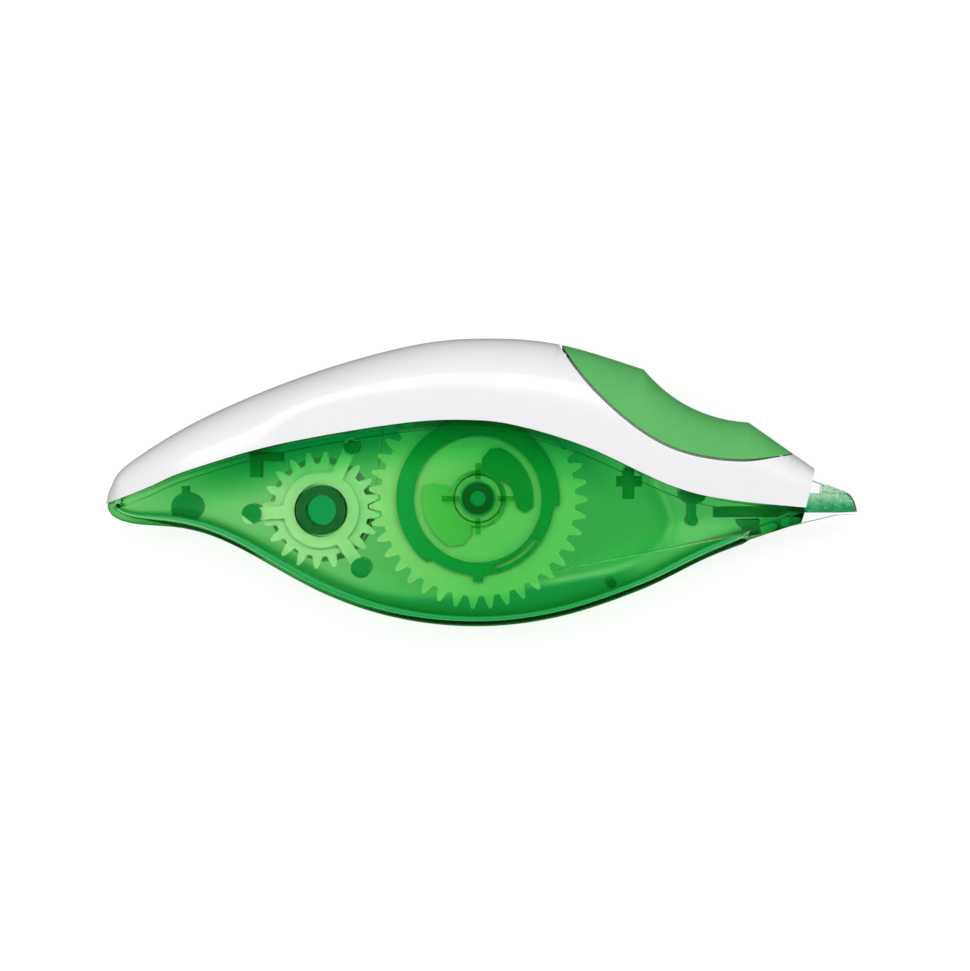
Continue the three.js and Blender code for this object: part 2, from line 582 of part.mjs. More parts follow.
const supply = new THREE.Group();
place(supply, "drive_gear", driveGear(), FINISHES.whiteMoulding);
place(supply, "clutch_ring", clutchRing(), FINISHES.greenMoulding);
place(supply, "clutch_spring", clutchSpring(), FINISHES.greenMoulding);
place(supply, "supply_core", supplyCore(), FINISHES.whiteMoulding);
place(supply, "tape_roll", tapeRoll(), FINISHES.whiteTape);

const takeUp = new THREE.Group();
place(takeUp, "take_up_gear", takeUpGear(), FINISHES.whiteMoulding);
place(takeUp, "used_tape_winding", usedTapeWinding(), FINISHES.tapeLiner);

const tape = new THREE.Group();
place(tape, "fresh_tape_strand", freshTapeStrand(), FINISHES.whiteTape);
place(tape, "used_tape_strand", usedTapeStrand(), FINISHES.tapeLiner);

object.add(housing, posts, supply, takeUp, tape);

export default object;
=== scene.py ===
"""Looks of the correction tape roller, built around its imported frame.

Sizes are in millimetres until a mesh is made, then metres. +X points to the applicator tip, +Y to the
grip side and +Z out of the front face, which is the face that the camera sees.
"""

import math

import bmesh
import bpy
import numpy as np
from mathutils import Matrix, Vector


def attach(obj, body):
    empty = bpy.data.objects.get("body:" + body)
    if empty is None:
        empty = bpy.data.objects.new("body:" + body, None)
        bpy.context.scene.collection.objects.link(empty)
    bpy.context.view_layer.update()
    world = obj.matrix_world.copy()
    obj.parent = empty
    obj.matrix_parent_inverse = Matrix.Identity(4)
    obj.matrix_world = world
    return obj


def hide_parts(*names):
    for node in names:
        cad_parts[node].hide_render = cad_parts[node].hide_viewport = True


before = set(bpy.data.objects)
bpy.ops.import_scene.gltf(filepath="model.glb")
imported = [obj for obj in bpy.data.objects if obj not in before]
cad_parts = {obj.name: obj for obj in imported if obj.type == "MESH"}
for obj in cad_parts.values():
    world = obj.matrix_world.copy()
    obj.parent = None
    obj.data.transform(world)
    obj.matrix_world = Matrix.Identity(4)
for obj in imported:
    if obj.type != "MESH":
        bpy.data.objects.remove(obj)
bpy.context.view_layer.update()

MM = 0.001

# ---------------------------------------------------------------- sizes of the case, as in the frame

THICKNESS = 17.0
MIDDLE = THICKNESS / 2  # parting plane of the two shells
GAP = 0.3
SHELL_WALL = 1.5
COVER_WALL = 1.4
LEDGE_DEPTH = 1.2
TONGUE_RISE = 2.5
TONGUE_WALL = 0.9
PAD_WALL = 1.2
PAD_GAP = 0.4
PAD_GAP_TAPER = (43.0, 50.5)  # the gap round the pad narrows between these, by the next as a share
PAD_GAP_LOSS = 0.65
SHELL_CORNER, COVER_CORNER, PAD_CORNER = 0.12, 0.18, 0.3  # radius of the rounded edges
SECTION_POWER = 3.0  # of the rounded cross-section, where 2 would be an ellipse
FACE_BLEND = 0.8  # width of the soft edge round the flat faces

NOSE = (-63.75, -3.7)
DIP_START = (27.4, 19.2)
DIP_END = (45.2, 10.2)
DIP_SAG = 2.15
MOUTH_TOP = (56.3, 2.4)
MOUTH_BOTTOM = (53.9, -7.2)
MOUTH_LEAN = (MOUTH_TOP[0] - MOUTH_BOTTOM[0]) / (MOUTH_TOP[1] - MOUTH_BOTTOM[1])
MOUTH_MIDDLE = ((MOUTH_TOP[0] + MOUTH_BOTTOM[0]) / 2, (MOUTH_TOP[1] + MOUTH_BOTTOM[1]) / 2)
LEAN_START = 38.0  # from here on, the case leans over towards its slanted mouth
OVERRUN = 59.0  # the outlines run on to here, past the mouth

SPINE_POINTS = [
    NOSE, (-62.9, -0.7), (-59.8, 3.3), (-47.1, 11.0), (-29.2, 18.4),
    (-11.0, 23.4), (2.6, 24.4), (14.1, 23.2), DIP_START,
]
BELLY_POINTS = [
    NOSE, (-62.6, -5.7), (-59.0, -7.0), (-50.0, -7.9), (-42.0, -10.7), (-26.7, -18.9), (-13.9, -23.1),
    (-0.3, -24.4), (13.0, -22.8), (27.0, -18.2), (39.6, -12.2), (54.1, -7.1), (OVERRUN, -5.3),
]
COVER_EDGE_POINTS = [
    (-66.0, -4.4), (-60.1, -2.3), (-55.6, -0.5), (-49.6, 2.0), (-34.3, 6.4), (-13.9, 9.9), (-2.0, 10.5),
    (6.5, 9.4), (18.0, 5.8), (32.0, -0.6), (42.2, -3.0), (OVERRUN, -4.6),
]
PAD_EDGE_POINTS = [
    (13.6, 25.5), (13.9, 22.6), (19.2, 15.6), (26.9, 8.9), (34.5, 5.2), (43.9, 3.9), (52.9, 4.9),
]
HALF_WIDTH_POINTS = [
    (-63.75, 1.2), (-62.5, 3.2), (-60.0, 4.6), (-50.0, 7.2), (-39.0, 8.7), (-27.0, 10.3),
    (0.0, 10.0), (18.0, 9.4), (35.0, 8.4), (45.0, 7.0), (OVERRUN, 5.2),
]

TAPE_SLOT_START = 43.8  # here the slot in the belly starts, through which the tape leaves
TAPE_SLOT_FULL = 46.2
TAPE_SLOT_HALF = 3.4
TAPE_HALF_WIDTH = 2.5
STRAND_HALF = 0.05  # half the thickness of a strand of tape

DRIVE_CENTRE = (-0.68, -2.72)
TAKE_UP_CENTRE = (-27.16, -4.66)
ROLL_RADIUS = 14.0
WINDING_RADIUS = 8.0
GUIDE_RADIUS = 1.0
FRONT_GUIDE = (16.5, 13.0)
REAR_GUIDE = (-14.5, 15.0)
TIP_REST = (45.1, -6.3)
TIP_REST_RADIUS = 1.9
MOUTH_GUIDE = (52.7, -6.0)
MOUTH_GUIDE_RADIUS = 0.9
TIP_FOOT, TIP_TOP = -5.0, -0.5  # y of the clear tip's foot and of its top


# ---------------------------------------------------------------- curves


def curve_through(points, pieces):
    """Smooth curve through points, as evenly timed rows of (x, y)."""
    points = np.array(points, float)
    last = len(points) - 1
    time = np.linspace(0, last, pieces + 1)
    start = np.minimum(time.astype(int), last - 1)
    t = (time - start)[:, None]
    before, here = points[np.maximum(start - 1, 0)], points[start]
    there, after = points[start + 1], points[np.minimum(start + 2, last)]
    leave, arrive = (there - before) / 2, (after - here) / 2
    return (
        (2 * here - 2 * there + leave + arrive) * t**3
        + (-3 * here + 3 * there - 2 * leave - arrive) * t**2
        + leave * t
        + here
    )


def finger_dip(pieces):
    """Shallow arc between the two corners of the finger dip, without its first point."""
    start, end = np.array(DIP_START), np.array(DIP_END)
    across = end - start
    drop = np.array([across[1], -across[0]]) / np.linalg.norm(across)
    t = np.linspace(0, 1, pieces + 1)[1:, None]
    return start + across * t + drop * 4 * DIP_SAG * t * (1 - t)


def moved_sideways(points, distance):
    """A polyline moved to its right by a distance."""
    along = np.gradient(points, axis=0)
    along /= np.linalg.norm(along, axis=1)[:, None]
    return points + distance * np.column_stack([along[:, 1], -along[:, 0]])


def rising(points):
    """The same polyline with x never falling, so that heights can be read off it."""
    return np.column_stack([np.maximum.accumulate(points[:, 0]), points[:, 1]])


def smooth_step(value, start, end):
    """0 before the start, 1 after the end, and an even turn between them."""
    t = np.clip((value - start) / (end - start), 0, 1)
    return t * t * (3 - 2 * t)


def leant(s, y):
    """x of a point at station s. Stations stand upright at the tail and slant to match the mouth."""
    return s + smooth_step(s, LEAN_START, MOUTH_MIDDLE[0]) * MOUTH_LEAN * (y - MOUTH_MIDDLE[1])


def by_station(points):
    """A polyline of (x, y) as rows of (station, y), found by correcting a first guess a few times."""
    s = points[:, 0].copy()
    for _ in range(20):
        s += points[:, 0] - leant(s, points[:, 1])
    return rising(np.column_stack([s, points[:, 1]]))


def height_at(line, s):
    return float(np.interp(s, line[:, 0], line[:, 1]))


def recess_edge():
    """Edge of the pad's recess. The gap round the pad narrows towards its pointed end."""
    pad_edge = curve_through(PAD_EDGE_POINTS, 200)
    gap = PAD_GAP * (1 - PAD_GAP_LOSS * smooth_step(pad_edge[:, 0], *PAD_GAP_TAPER))
    return moved_sideways(pad_edge, gap[:, None])


BEYOND_MOUTH = np.array(DIP_END) + 1.5 * (np.array(MOUTH_TOP) - DIP_END)
BEYOND_DIP = np.linspace(DIP_END, BEYOND_MOUTH, 40)[1:]
SPINE = np.vstack([curve_through(SPINE_POINTS, 400), finger_dip(60), BEYOND_DIP])
BELLY = curve_through(BELLY_POINTS, 500)
HALF_WIDTH = curve_through(HALF_WIDTH_POINTS, 300)
COVER_EDGE = by_station(curve_through(COVER_EDGE_POINTS, 300))
PAD_EDGE = by_station(curve_through(PAD_EDGE_POINTS, 200))
RECESS_EDGE = by_station(recess_edge())


# ---------------------------------------------------------------- cross-sections of the case


class Section:
    """Front half of a cross-section, from its lowest point up, as rows of (y, z from the middle)."""

    def __init__(self, points):
        self.points = points
        steps = np.linalg.norm(np.diff(points, axis=0), axis=1)
        self.along = np.concatenate([[0], np.cumsum(steps)])
        self.top = self.along[-1]

    def at_height(self, y):
        return float(np.interp(y, self.points[:, 0], self.along))

    def at_depth(self, z):
        """Distance along the section to where it is first z off the middle plane."""
        widest = int(np.argmax(self.points[:, 1])) + 1
        return float(np.interp(z, self.points[:widest, 1], self.along[:widest]))

    def part(self, first, last, count):
        """A count of evenly spaced points between two distances along the section."""
        marks = np.linspace(first, last, count)
        return np.column_stack([np.interp(marks, self.along, column) for column in self.points.T])


class CaseForm:
    """The full shape of the case, shrunk on every side by an inset."""

    def __init__(self, inset):
        self.inset = inset
        self.top = by_station(moved_sideways(SPINE, inset))
        self.bottom = by_station(moved_sideways(BELLY, -inset))

    def section(self, s):
        high, low = height_at(self.top, s), height_at(self.bottom, s)
        half = max((high - low) / 2, 0)
        width = max(height_at(HALF_WIDTH, s - self.inset / 2) - self.inset, 0)
        if s <= NOSE[0] + self.inset:
            half, width = 0, 0
        angle = np.linspace(math.pi, 0, 361)
        power = 2 / SECTION_POWER
        y = (high + low) / 2 + half * np.sign(np.cos(angle)) * np.abs(np.cos(angle)) ** power
        z = width * np.abs(np.sin(angle)) ** power
        return Section(np.column_stack([y, soft_limit(z, MIDDLE - self.inset)]))


def soft_limit(z, limit):
    """z kept under a limit, with a rounded turn where it would cross."""
    nearness = np.maximum(FACE_BLEND - np.abs(z - limit), 0) / FACE_BLEND
    return np.minimum(z, limit) - nearness**2 * FACE_BLEND / 4


OUTSIDE = CaseForm(0)
SHELL_INSIDE = CaseForm(SHELL_WALL)
COVER_INSIDE = CaseForm(COVER_WALL)
TONGUE_OUTSIDE = CaseForm(COVER_WALL + GAP)
TONGUE_INSIDE = CaseForm(COVER_WALL + GAP + TONGUE_WALL)
PAD_SEAT = CaseForm(PAD_WALL + PAD_GAP)
PAD_INSIDE = CaseForm(PAD_WALL)
COVER_UNDER_PAD = CaseForm(PAD_WALL + PAD_GAP + COVER_WALL)


# ---------------------------------------------------------------- mesh making


CORNER_POINTS = 5
CORNER_LIMIT = 0.45  # of the step to the next point, which is the most that a corner may take up


def closed_loop(runs, radius):
    """One closed loop from runs of points, joined by straight runs, with every corner rounded."""
    whole = []
    for i, run in enumerate(runs):
        follower = runs[(i + 1) % len(runs)]
        whole += [run, np.linspace(run[-1], follower[0], 4)]
    loop = []
    for i, run in enumerate(whole):
        loop += [soft_corner(whole[i - 1][-2], run[0], run[1], radius), run[1:-1]]
    return np.vstack(loop)


def soft_corner(before, corner, after, radius):
    """Points that round off a corner."""
    back, on = before - corner, after - corner
    reach_back, reach_on = np.linalg.norm(back), np.linalg.norm(on)
    start = corner + back * min(CORNER_LIMIT, radius / max(reach_back, 1e-9))
    end = corner + on * min(CORNER_LIMIT, radius / max(reach_on, 1e-9))
    t = np.linspace(0, 1, CORNER_POINTS)[:, None]
    return (1 - t) ** 2 * start + 2 * t * (1 - t) * corner + t * t * end


MERGE_DISTANCE = 0.002 * MM
SHARP_ANGLE = math.radians(50)


def mesh_object(name, verts, faces):
    """Smooth-shaded object from points in millimetres, sharp only where its faces meet steeply."""
    mesh = bpy.data.meshes.new(name)
    mesh.from_pydata([tuple(v) for v in np.asarray(verts, float) * MM], [], faces)
    work = bmesh.new()
    work.from_mesh(mesh)
    bmesh.ops.remove_doubles(work, verts=work.verts, dist=MERGE_DISTANCE)
    bmesh.ops.dissolve_degenerate(work, edges=work.edges, dist=MERGE_DISTANCE / 2)
    bmesh.ops.recalc_face_normals(work, faces=work.faces)
    work.to_mesh(mesh)
    work.free()
    mesh.shade_smooth()
    mesh.set_sharp_from_angle(angle=SHARP_ANGLE)
    thing = bpy.data.objects.new(name, mesh)
    bpy.context.scene.collection.objects.link(thing)
    normals = thing.modifiers.new("even_normals", "WEIGHTED_NORMAL")
    normals.keep_sharp = True
    return thing


def sweep(name, stations, loop_at, side=1):
    """A skin over one loop of (y, z from the middle) at each station, closed at both ends."""
    verts = []
    for s in stations:
        loop = loop_at(s)
        verts.append(np.column_stack([leant(s, loop[:, 0]), loop[:, 0], MIDDLE + side * loop[:, 1]]))
    count = len(verts[0])
    faces = []
    for i in range(len(verts) - 1):
        for k in range(count):
            a, b = i * count + k, i * count + (k + 1) % count
            faces.append((a, b, b + count, a + count))
    faces.append(tuple(range(count)))
    faces.append(tuple(range((len(verts) - 1) * count, len(verts) * count)))
    return mesh_object(name, np.vstack(verts), faces)


def mirrored_loop(outer_runs, inner_runs, radius):
    """Closed loop of a piece that straddles both halves, from the runs of its front half."""
    outer_back = [run[::-1] * [1, -1] for run in reversed(outer_runs)]
    inner_back = [run[::-1] * [1, -1] for run in reversed(inner_runs)]
    return closed_loop([*outer_runs, *outer_back, *inner_back, *inner_runs], radius)


MOUTH = MOUTH_MIDDLE[0]
END_STEP = 0.1  # between the last two stations, which keeps the end edges crisp
TAIL = NOSE[0] + 0.06
TAIL_CROWD_END = -56.0
TAIL_CROWD = 26


def stations_between(*stops):
    """Stations along the case, from rows of (start, end, how many)."""
    return np.unique(np.concatenate([np.linspace(*stop) for stop in stops]).round(4))


def stations_from(start, *stops):
    """Stations that crowd together towards the rounded tail, and then follow rows of stops."""
    crowd = start + (TAIL_CROWD_END - start) * np.linspace(0, 1, TAIL_CROWD) ** 2
    return np.unique(np.concatenate([crowd, stations_between(*stops)]).round(4))


# ---------------------------------------------------------------- case pieces


SHELL_START = TAIL + 0.25  # at the tail the shells start a little inside the cover


def shell_loop(s):
    """Outer wall up to the cover's edge, then the tongue under the cover, then the inner wall."""
    edge = height_at(COVER_EDGE, s)
    slot_share = float(smooth_step(s, TAPE_SLOT_START, TAPE_SLOT_FULL))
    seam = GAP / 2 + (TAPE_SLOT_HALF - GAP / 2) * slot_share
    outer, inner = OUTSIDE.section(s), SHELL_INSIDE.section(s)
    tongue_outer, tongue_inner = TONGUE_OUTSIDE.section(s), TONGUE_INSIDE.section(s)
    rim, ledge, tongue_top = edge - GAP, edge - GAP - LEDGE_DEPTH, edge + TONGUE_RISE
    runs = [
        outer.part(outer.at_depth(seam), outer.at_height(rim), 70),
        tongue_outer.part(tongue_outer.at_height(rim), tongue_outer.at_height(tongue_top), 8),
        tongue_inner.part(tongue_inner.at_height(tongue_top), tongue_inner.at_height(ledge), 10),
        inner.part(inner.at_height(ledge), inner.at_depth(seam), 60),
    ]
    loop = closed_loop(runs, SHELL_CORNER)
    loop[:, 1] = np.maximum(loop[:, 1], seam)
    return loop


def shell_stations():
    return stations_from(
        SHELL_START,
        (TAIL_CROWD_END, TAPE_SLOT_START, 170),
        (TAPE_SLOT_START, MOUTH - 2.5 * END_STEP, 40),
        (MOUTH - END_STEP, MOUTH, 2),
    )


PAD_SEARCH_START = 13.0


def below_spine(edge_line):
    """First and last station where an edge line of the pad lies below the spine."""
    search = np.linspace(PAD_SEARCH_START, MOUTH, 2000)
    inside = [s for s in search if height_at(edge_line, s) < height_at(OUTSIDE.top, s)]
    return inside[0], inside[-1]


PAD_RANGE = below_spine(PAD_EDGE)
RECESS_RANGE = below_spine(RECESS_EDGE)


def recess_line(s):
    """Height of the recess's edge. Beyond each end it falls from the spine as it does inside."""
    start, end = RECESS_RANGE
    if start <= s <= end:
        return height_at(RECESS_EDGE, s)
    inside = min(2 * start - s, (start + end) / 2) if s < start else 2 * end - s
    drop = height_at(OUTSIDE.top, inside) - height_at(RECESS_EDGE, inside)
    return height_at(OUTSIDE.top, s) - drop


LEAST_BELOW = 0.35  # of the cover's height, which is the least that lies below the recess's edge


def cover_loop(s):
    """Outer wall with the pad's recess sunk into it, and the inner wall a cover's thickness below."""
    edge = height_at(COVER_EDGE, s)
    outer, inner = OUTSIDE.section(s), COVER_INSIDE.section(s)
    sunk = RECESS_RANGE[0] < s < RECESS_RANGE[1]
    seat = PAD_SEAT.section(s) if sunk else outer
    under = COVER_UNDER_PAD.section(s) if sunk else inner
    line = max(recess_line(s), edge + LEAST_BELOW * (height_at(OUTSIDE.top, s) - edge))
    outer_runs = [
        outer.part(outer.at_height(edge), outer.at_height(line), 34),
        seat.part(seat.at_height(line), seat.top, 26),
    ]
    inner_runs = [
        under.part(under.top, under.at_height(line - COVER_WALL), 20),
        inner.part(inner.at_height(line - COVER_WALL), inner.at_height(edge), 20),
    ]
    return mirrored_loop(outer_runs, inner_runs, COVER_CORNER)


def pad_loop(s):
    edge = height_at(PAD_EDGE, s)
    outer, inner = OUTSIDE.section(s), PAD_INSIDE.section(s)
    outer_runs = [outer.part(outer.at_height(edge), outer.top, 40)]
    inner_runs = [inner.part(inner.top, inner.at_height(edge), 24)]
    return mirrored_loop(outer_runs, inner_runs, PAD_CORNER)


SHADE = "shade"  # attribute of the shells, from 0 where the green is palest to 1 where it is deepest, with painted shade and a painted highlight in it
SHADE_ALONG = {1: (0.0, 0.42), -1: (0.40, 0.60)}  # at the tail and from the middle on, by side
DEEPER_FROM, DEEPER_TO = -34.0, 4.0
COVER_SHADOW_REACH = 9.0  # how far below the cover's edge the painted shade of the cover reaches
COVER_SHADOW_SPAN = (-61.0, -36.0, 12.0, 26.0)  # it comes in over the first two, goes over the last two
COVER_SHADOW_LOSS = 0.9
PANEL_EDGE_POINTS = [
    (-58.0, -7.5), (-44.0, -10.6), (-30.0, -16.2), (-15.0, -19.4), (0.0, -18.6), (9.0, -17.4),
    (15.5, -16.3), (22.3, -15.0), (27.4, -13.0), (30.8, -10.3), (32.2, -6.9), (31.4, -3.5), (29.1, 0.4),
]
PANEL_EDGE = curve_through(PANEL_EDGE_POINTS, 200)  # below and at the tip side of the leaf-shaped flat
BEYOND_PANEL = 1.0  # width over which the green changes there
BEYOND_LOSS = {1: 0.3, -1: 0.8}  # it deepens below the flat
PANEL_END = (22.0, 29.0)  # towards this end it is deeper green inside that edge, and paler outside
PANEL_END_WIDTH = 4.0
PANEL_END_LOSS = {1: 0.25, -1: 0.0}
PANEL_END_GAIN = {1: 0.20, -1: 0.0}
PANEL_HIGHLIGHT_HALF = 0.7  # half-width of the painted highlight, a paler line along that edge where light bends at the turn of the flat
PANEL_HIGHLIGHT_FROM = (6.0, 14.0)
PANEL_HIGHLIGHT_GAIN = 0.4
PALE_PATCH = (37.5, -8.6)  # paler patch beside the tip's stem
PALE_REACH = (9.0, 3.6)
PALE_CORE = 0.3  # of its reach, inside which it is palest
PALE_GAIN = 0.15
MOUTH_SHADE = (45.0, 50.0)  # the green deepens again towards the mouth
MOUTH_LOSS = 0.7
AXLE_RADIUS = 3.2  # the back shell is deepest green behind each axle, within this radius


def past_panel(x, y):
    """Distance from each place to the edge of the leaf-shaped flat, less than 0 on the flat."""
    starts, ends = PANEL_EDGE[:-1], PANEL_EDGE[1:]
    along = ends - starts
    nearest = np.full(len(x), np.inf)
    signed = np.zeros(len(x))
    for (ax, ay), (dx, dy) in zip(starts, along):
        share = np.clip(((x - ax) * dx + (y - ay) * dy) / (dx * dx + dy * dy), 0, 1)
        distance = np.hypot(x - ax - share * dx, y - ay - share * dy)
        side = np.sign(dy * (x - ax) - dx * (y - ay))
        closer = distance < nearest
        nearest[closer] = distance[closer]
        signed[closer] = (distance * side)[closer]
    return signed


def shade_at(x, y, side):
    """How deep the green is at a place on one of the shells, with painted shade below the cover and a
    painted highlight line included.
    """
    tail_shade, tip_shade = SHADE_ALONG[side]
    light = 1 - tail_shade - (tip_shade - tail_shade) * smooth_step(x, DEEPER_FROM, DEEPER_TO)
    # painted shade: the green deepens just below the cover's edge, where the opaque cover shades the
    # shells
    cover_shadow = 1 - smooth_step(np.interp(x, *COVER_EDGE.T) - y, 0, COVER_SHADOW_REACH)
    cover_shadow *= smooth_step(x, *COVER_SHADOW_SPAN[:2]) * (1 - smooth_step(x, *COVER_SHADOW_SPAN[2:]))
    past = past_panel(x, y)
    beyond = smooth_step(past, 0, BEYOND_PANEL)
    at_end = smooth_step(x, *PANEL_END)
    light *= (1 - COVER_SHADOW_LOSS * cover_shadow) * (1 - BEYOND_LOSS[side] * beyond * (1 - at_end))
    light += PANEL_END_GAIN[side] * beyond * at_end
    light -= PANEL_END_LOSS[side] * smooth_step(past, -PANEL_END_WIDTH, 0) * (1 - beyond) * at_end
    # painted highlight: a pale line along the edge of the flat
    light += PANEL_HIGHLIGHT_GAIN * smooth_step(x, *PANEL_HIGHLIGHT_FROM) * np.maximum(1 - abs(past) / PANEL_HIGHLIGHT_HALF, 0)
    off_patch = np.hypot((x - PALE_PATCH[0]) / PALE_REACH[0], (y - PALE_PATCH[1]) / PALE_REACH[1])
    light += PALE_GAIN * (1 - smooth_step(off_patch, PALE_CORE, 1))
    light *= 1 - MOUTH_LOSS * smooth_step(x, *MOUTH_SHADE)
    if side < 0:
        for centre in (DRIVE_CENTRE, TAKE_UP_CENTRE):
            light[np.hypot(x - centre[0], y - centre[1]) < AXLE_RADIUS] = 0
    return 1 - light


def add_shade(piece, side):
    """Stores the shade of every vertex of a shell."""
    places = np.empty(3 * len(piece.data.vertices))
    piece.data.vertices.foreach_get("co", places)
    x, y, _ = places.reshape(-1, 3).T / MM
    attribute = piece.data.attributes.new(SHADE, "FLOAT", "POINT")
    attribute.data.foreach_set("value", shade_at(x, y, side))


RIB_HALF = 0.45
RIB_START = 3.3  # from the centre of the drive gear
RIB_REACH = 6.0
RIB_DEPTH = 0.8
RIB_BEVEL = 0.1
RIB_CLEAR = 0.01  # between the ribs and the wall's inner face


def add_hub_ribs(shell):
    """Four short ribs around the drive gear's axle, on the inside of the front shell."""
    work = bmesh.new()
    work.from_mesh(shell.data)
    top = THICKNESS - SHELL_WALL - RIB_CLEAR
    for direction in ((1, 0), (0, 1), (-1, 0), (0, -1)):
        along = np.array([*direction, 0])
        across = np.array([-direction[1], direction[0], 0])
        middle = np.array([*DRIVE_CENTRE, top - RIB_DEPTH / 2]) + along * (RIB_START + RIB_REACH) / 2
        rib = bmesh.ops.create_cube(work, size=1)["verts"]
        for vert in rib:
            length, width, depth = vert.co
            corner = middle + along * length * (RIB_REACH - RIB_START) + across * width * 2 * RIB_HALF
            vert.co = Vector((corner + [0, 0, depth * RIB_DEPTH]) * MM)
        edges = {edge for vert in rib for edge in vert.link_edges}
        bmesh.ops.bevel(
            work, geom=list(edges), offset=RIB_BEVEL * MM, segments=2, affect="EDGES", profile=0.5,
        )
    work.to_mesh(shell.data)
    work.free()


JUST_INSIDE = 0.01  # keeps the stations clear of the recess's very ends


def cover_stations():
    start, end = RECESS_RANGE
    return stations_from(
        TAIL,
        (TAIL_CROWD_END, start - 2 * JUST_INSIDE, 120),
        (start + JUST_INSIDE, start + 1, 10),
        (start + 1, end - JUST_INSIDE, 90),
        (end + JUST_INSIDE, MOUTH - 2 * END_STEP, 10),
        (MOUTH - END_STEP, MOUTH, 2),
    )


def pad_stations():
    start, end = PAD_RANGE
    return stations_between(
        (start + JUST_INSIDE, start + 1, 10),
        (start + 1, end - 1, 90),
        (end - 1, end - 2 * JUST_INSIDE, 8),
    )


def make_case():
    """The two shells, the cover and the pad, by the names of the nodes that they replace."""
    pieces = {}
    for side, name in ((1, "front_shell"), (-1, "back_shell")):
        pieces[name] = sweep(f"{name}_moulding", shell_stations(), shell_loop, side)
        if side > 0:
            add_hub_ribs(pieces[name])
        add_shade(pieces[name], side)
    pieces["spine_cover"] = sweep("spine_cover_moulding", cover_stations(), cover_loop)
    pieces["grip_pad"] = sweep("grip_pad_rubber", pad_stations(), pad_loop)
    return pieces


# ---------------------------------------------------------------- tape


def arc(centre, radius, first, last, steps):
    """Points on a circle between two angles in degrees."""
    angle = np.radians(np.linspace(first, last, steps + 1))
    return np.column_stack([centre[0] + radius * np.cos(angle), centre[1] + radius * np.sin(angle)])


def ribbon(name, path):
    """A strand of tape that stands on edge along a path in XY."""
    left, right = moved_sideways(path, -STRAND_HALF), moved_sideways(path, STRAND_HALF)
    low, high = MIDDLE - TAPE_HALF_WIDTH, MIDDLE + TAPE_HALF_WIDTH
    verts, faces = [], []
    for (lx, ly), (rx, ry) in zip(left, right):
        verts += [(lx, ly, low), (lx, ly, high), (rx, ry, high), (rx, ry, low)]
    for i in range(len(path) - 1):
        for k in range(4):
            a, b = 4 * i + k, 4 * i + (k + 1) % 4
            faces.append((a, b, b + 4, a + 4))
    faces.append((0, 1, 2, 3))
    faces.append(tuple(range(len(verts) - 4, len(verts))))
    return mesh_object(name, verts, faces)


ROUND_THE_TIP = [
    (63.55, -4.95), (63.4, -4.2), (63.1, -3.2), (62.6, -2.3), (61.9, -1.7), (61.0, -1.3), (60.0, -1.1),
]


def make_tape():
    """Fresh tape from the roll to the edge of the tip, and used tape back to its winding."""
    clear = GAP + 2 * STRAND_HALF
    fresh = np.vstack([
        arc(DRIVE_CENTRE, ROLL_RADIUS + clear, 262, 281, 12),
        arc(TIP_REST, TIP_REST_RADIUS + clear, 272, 286, 4),
        arc(MOUTH_GUIDE, MOUTH_GUIDE_RADIUS + clear, 278, 288, 3),
        [(60.4, -5.5), (63.0, -5.42)],
    ])
    used = np.vstack([
        ROUND_THE_TIP,
        arc(FRONT_GUIDE, GUIDE_RADIUS + clear, 71, 86, 4),
        arc(REAR_GUIDE, GUIDE_RADIUS + clear, 90, 170, 16),
        arc(TAKE_UP_CENTRE, WINDING_RADIUS + clear, -10, -40, 12),
    ])
    return {
        "fresh_tape_strand": ribbon("fresh_tape", fresh),
        "used_tape_strand": ribbon("used_tape", used),
    }


# ---------------------------------------------------------------- materials


WAVE_PERIOD = math.pi / 10  # of the wave texture at scale 1


def set_stops(ramp, stops):
    """Fills a colour ramp with rows of (position, colour)."""
    elements = ramp.color_ramp.elements
    while len(elements) < len(stops):
        elements.new(1.0)
    for element, (position, colour) in zip(elements, stops):
        element.position = position
        element.color = (*colour, 1)


